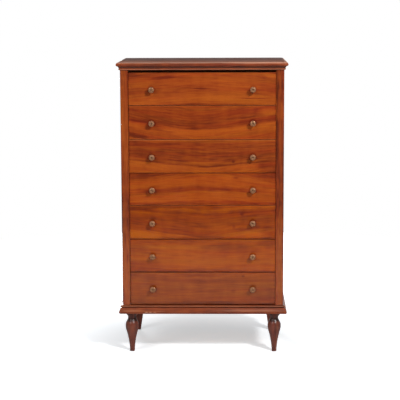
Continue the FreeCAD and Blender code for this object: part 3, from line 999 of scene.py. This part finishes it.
# Profiles of the mouldings: (reach beyond the case, height), as a start and its steps.
TOP_PROFILE = (
    (5.0, 0.0),
    [
        (6.0, 1.6),
        ((8.8, 7.0), (14.8, 9.8)),
        (15.4, 10.4),
        ((17.8, 14.2), (17.2, 18.6)),
        ((13.9, 24.3), (5.0, 26.6)),
        (4.0, 27.0),
    ],
)
BEAD_PROFILE = ((3.0, 0.0), [((6.5, 4.5), (3.0, 9.0))])
BASE_PROFILE = (
    (5.0, 0.0),
    [
        ((13.6, 2.4), (17.0, 8.0)),
        ((17.9, 10.8), (17.0, 13.6)),
        ((13.4, 21.4), (9.0, 30.0)),
        (3.6, 31.2),
        (3.2, 34.2),
        (7.4, 34.6),
        ((10.6, 38.0), (7.0, 41.4)),
        (0.4, 42.9),
    ],
)
# How far a moulding's underside reaches in behind the case's face.
BEAD_BACKING = 20
BASE_BACKING = 0
FACES_UP = 0.99


def build_top(top_wood, edge_wood):
    """Solid top with its edge moulded on three sides."""
    points = profile_points(*TOP_PROFILE)
    start = points[0][0] * MM
    piece = drawn_up(
        "top_board_moulded",
        (-CASE_HALF_WIDTH - start, FRONT_Y - start),
        (CASE_HALF_WIDTH + start, BACK_Y),
        TOP_UNDERSIDE,
        points,
        (0.0, BACK_Y),
        (2, 1),
    )
    crease(piece, MOULDING_CREASE)
    settle(piece, "case", ["top_board"], [top_wood, edge_wood])
    for face in piece.data.polygons:
        face.material_index = 0 if face.normal.z > FACES_UP else 1


def moulding_length(name, base_z, points, backing, side):
    """One length of moulding, square at its ends; side is -1 left, 0 front, 1 right.

    Its underside is a strip from backing behind the case's face out to the profile.
    """
    reach = max(point[0] for point in points) * MM
    inner, start = backing * MM, points[0][0] * MM
    if side:
        back_plane, nose = side * (CASE_HALF_WIDTH - inner), side * (CASE_HALF_WIDTH + start)
        low = (min(back_plane, nose), FRONT_Y - reach)
        high = (max(back_plane, nose), BACK_Y)
        still, edges = (back_plane, 0.0), (1, 0)
    else:
        low = (-CASE_HALF_WIDTH - reach, FRONT_Y - start)
        high = (CASE_HALF_WIDTH + reach, FRONT_Y + inner)
        still, edges = (0.0, FRONT_Y + inner), (0, 1)
    return drawn_up(name, low, high, base_z, points, still, edges)


def build_moulding(name, node, base_z, profile, backing, along_front, along_side):
    """Front, left and right lengths of a moulding, mitred at the front corners."""
    points = profile_points(*profile)
    corner_x = CASE_HALF_WIDTH
    for side, ending, material in (
        (0, "front", along_front),
        (-1, "left", along_side),
        (1, "right", along_side),
    ):
        piece = moulding_length(f"{name}_{ending}", base_z, points, backing, side)
        if side:
            mitre(piece, (side * corner_x, FRONT_Y), (-side, -1))
        else:
            mitre(piece, (corner_x, FRONT_Y), (1, 1))
            mitre(piece, (-corner_x, FRONT_Y), (-1, 1))
        mend(piece)
        crease(piece, MOULDING_CREASE)
        settle(piece, "case", [node], [material])


# Profiles of what is turned: (radius, distance along the axis), as a start and its steps.
LEG_PROFILE = (
    (10.4, 0.0),
    [
        (11.8, 1.2),
        ((15.2, 45.0), (25.6, 95.0)),
        ((31.9, 128.0), (25.2, 151.0)),
        ((22.0, 156.5), (19.4, 163.0)),
        (19.4, 167.0),
        ((21.6, 175.0), (26.6, 181.4)),
        (27.4, 184.0),
        (27.4, 193.0),
        (11.0, 193.0),
        (11.0, 214.0),
        (10.0, 215.0),
    ],
)
LEG_SIDES = 64
KNOB_PROFILE = (
    (2.4, -14.0),
    [
        (2.4, 0.0),
        (8.0, 0.0),
        (8.2, 0.8),
        (7.2, 1.5),
        ((4.9, 6.0), (4.8, 11.0)),
        ((6.6, 15.8), (12.3, 18.4)),
        ((14.0, 19.9), (13.5, 21.8)),
        ((10.9, 25.0), (5.6, 25.9)),
        ((4.3, 25.7), (3.6, 24.9)),
        ((2.2, 24.3), (0.6, 24.3)),
    ],
)
KNOB_SIDES = 48
KNOB_ARC_PIECES = 5


def build_front_legs(material):
    """Turned front legs with their spigots."""
    for side in ("left", "right"):
        node = f"front_{side}_leg"
        low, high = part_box(node)
        centre = Vector(((low.x + high.x) / 2, (low.y + high.y) / 2, 0.0))
        points = profile_points(*LEG_PROFILE)
        piece = turned(node + "_turned", centre, Vector((0, 0, 1)), points, LEG_SIDES)
        settle(piece, "case", [node], [material])


def build_knobs(material):
    """The two knobs of each drawer, turned once and copied."""
    points = profile_points(*KNOB_PROFILE, pieces=KNOB_ARC_PIECES)
    pattern = turned("knob_pattern", Vector((0, 0, 0)), Vector((0, -1, 0)), points, KNOB_SIDES)
    pick(pattern)
    bpy.ops.object.transform_apply(location=True, rotation=True, scale=True)
    from_axis = pattern.data.attributes.new("from_axis", "FLOAT", "POINT")
    for vertex, reach in zip(pattern.data.vertices, from_axis.data):
        reach.value = Vector((vertex.co.x, vertex.co.z)).length
    for number in DRAWERS:
        node = f"drawer_{number}_knobs"
        low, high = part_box(node)
        face_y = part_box(f"drawer_{number}_front")[0].y
        for side, name in ((-1, "left"), (1, "right")):
            piece = pattern.copy()
            piece.data = pattern.data.copy()
            piece.name = f"drawer_{number}_{name}_knob"
            bpy.context.scene.collection.objects.link(piece)
            piece.location = (side * KNOB_OFFSET, face_y, (low.z + high.z) / 2)
            settle(piece, f"drawer_{number}", [node], [material])
    bpy.data.objects.remove(pattern)


FRONT_EASE = 0.0006
BOX_EASE = 0.0008
FACES_FRONT = -0.2  # the face with its eased edges
FACES_BACK = 0.9


def build_drawer(number, materials):
    """The wooden pieces of one drawer: its front is veneered, and bare wood inside."""
    body = f"drawer_{number}"
    face, edge, side_lining, cross_lining, floor = materials
    front = eased_copy(f"{body}_front", FRONT_EASE)
    settle(front, body, [f"{body}_front"], [face, edge, cross_lining])
    for polygon in front.data.polygons:
        if polygon.normal.y < FACES_FRONT:
            polygon.material_index = 0
        else:
            polygon.material_index = 2 if polygon.normal.y > FACES_BACK else 1
    for ending, slot, material in (
        ("left_side", "drawer_lining", side_lining),
        ("right_side", "drawer_lining", side_lining),
        ("back", "drawer_lining", cross_lining),
        ("bottom", "drawer_plywood", floor),
    ):
        piece = eased_copy(f"{body}_{ending}", BOX_EASE)
        settle(piece, body, [f"{body}_{ending}"], [material])


def build_case(woods):
    """Eased boards of the case, and a finish for the base frame, which keeps its mesh."""
    for node, slot, width in (  # width is that of the eased edge
        ("left_stile", "stile_wood", 0.0006),
        ("right_stile", "stile_wood", 0.0006),
        ("left_side_panel", "side_veneer", 0.0006),
        ("right_side_panel", "side_veneer", 0.0006),
        ("back_left_leg", "leg_wood", 0.0012),
        ("back_right_leg", "leg_wood", 0.0012),
        ("back_panel", "back_plywood", 0.0005),
        ("front_top_rail", "inner_wood", 0.001),
        ("back_top_rail", "inner_wood", 0.001),
        ("drawer_runners", "runner_hardwood", 0.001),
        ("bottom_board", "inner_wood", 0.0006),
        ("leg_blocks", "inner_wood", 0.001),
    ):
        piece = eased_copy(node, width)
        settle(piece, "case", [node], [woods[node]])
    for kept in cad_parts["base_frame"].material_slots:
        kept.material = woods["base_frame"]


def build_mouldings():
    """The moulded top, the bead under it and the moulding round the base."""
    edge_wood = wood(
        "top_moulding", MOULDING_BROWN, ALONG_X, 0.0, WAXED, patches=TOP_GROOVE_SHADE, lightening=TOP_HIGHLIGHTS
    )
    top_wood = wood("top_veneer", TOP_BROWN_SHADED, FLAT_ALONG_X, 0.0, FADED, lightening=MARGIN_RUBBED)
    side_groove_shade = TOP_GROOVE_SHADE + BASE_GROOVE_SHADE
    side_edge = wood(
        "side_moulding", MOULDING_BROWN, ALONG_Y, 0.0, WAXED, patches=side_groove_shade, lightening=TOP_HIGHLIGHTS
    )
    base_wood = wood(
        "base_moulding", MOULDING_BROWN, ALONG_X, 0.0, WAXED, patches=BASE_GROOVE_SHADE, lightening=BASE_WEAR_AND_HIGHLIGHTS
    )
    build_top(top_wood, edge_wood)
    build_moulding(
        "cornice_bead",
        "cornice_bead",
        CASE_TOP,
        BEAD_PROFILE,
        BEAD_BACKING,
        edge_wood,
        side_edge,
    )
    build_moulding(
        "base_moulding_length",
        "base_moulding",
        LEG_TOP,
        BASE_PROFILE,
        BASE_BACKING,
        base_wood,
        side_edge,
    )


def case_woods(leg_wood):
    """The wood of each board of the case."""
    inner = wood("inner_wood", HARDWOOD, ALONG_X, 4.1, RAW)
    side_veneer = wood(
        "side_veneer", STILE_BROWN, UPRIGHT_ON_SIDE, 5.3, contrast=QUIET, bow=0.06
    )
    return {
        "left_stile": wood(
            "left_stile_wood", STILE_BROWN, UPRIGHT, patches=LEFT_STILE_FIGURE_AND_SHADE
        ),
        "right_stile": wood(
            "right_stile_wood", STILE_BROWN, UPRIGHT, patches=RIGHT_STILE_FIGURE_AND_SHADE
        ),
        "left_side_panel": side_veneer,
        "right_side_panel": side_veneer,
        "back_left_leg": leg_wood,
        "back_right_leg": leg_wood,
        "base_frame": wood("base_wood", MOULDING_BROWN, ALONG_X, 3.1, WORN),
        "back_panel": wood("back_plywood", BACKING, UPRIGHT, 7.9, RAW),
        "front_top_rail": inner,
        "back_top_rail": inner,
        "drawer_runners": wood("runner_hardwood", HARDWOOD, ALONG_Y, 8.3, WORN),
        "bottom_board": inner,
        "leg_blocks": inner,
    }


def build_drawers():
    """All the drawers, with their own veneers and the bare woods that they share."""
    front_edge = wood("front_edge_wood", MOULDING_BROWN, ALONG_X, 11.3, WORN)
    side_lining = wood("drawer_lining", LINING, ALONG_Y, 9.7, RAW)
    cross_lining = wood("drawer_cross_lining", LINING, ALONG_X, 9.7, RAW)
    drawer_floor = wood("drawer_plywood", PLYWOOD, FLAT_ALONG_X, 10.9, RAW)
    for number in DRAWERS:
        face = veneer(number)
        build_drawer(number, (face, front_edge, side_lining, cross_lining, drawer_floor))


def main():
    bpy.context.scene.view_settings.view_transform = "Standard"
    place_camera()
    light_the_room()
    for lamp in SOFTBOXES:
        softbox(*lamp)
    lay_floor()
    build_mouldings()
    leg_wood = wood("leg_wood", LEG_BROWN, UPRIGHT, 0.7, WAXED, patches=LEG_NECK_SHADE)
    build_front_legs(leg_wood)
    build_knobs(aged_brass())
    build_case(case_woods(leg_wood))
    build_drawers()


main()
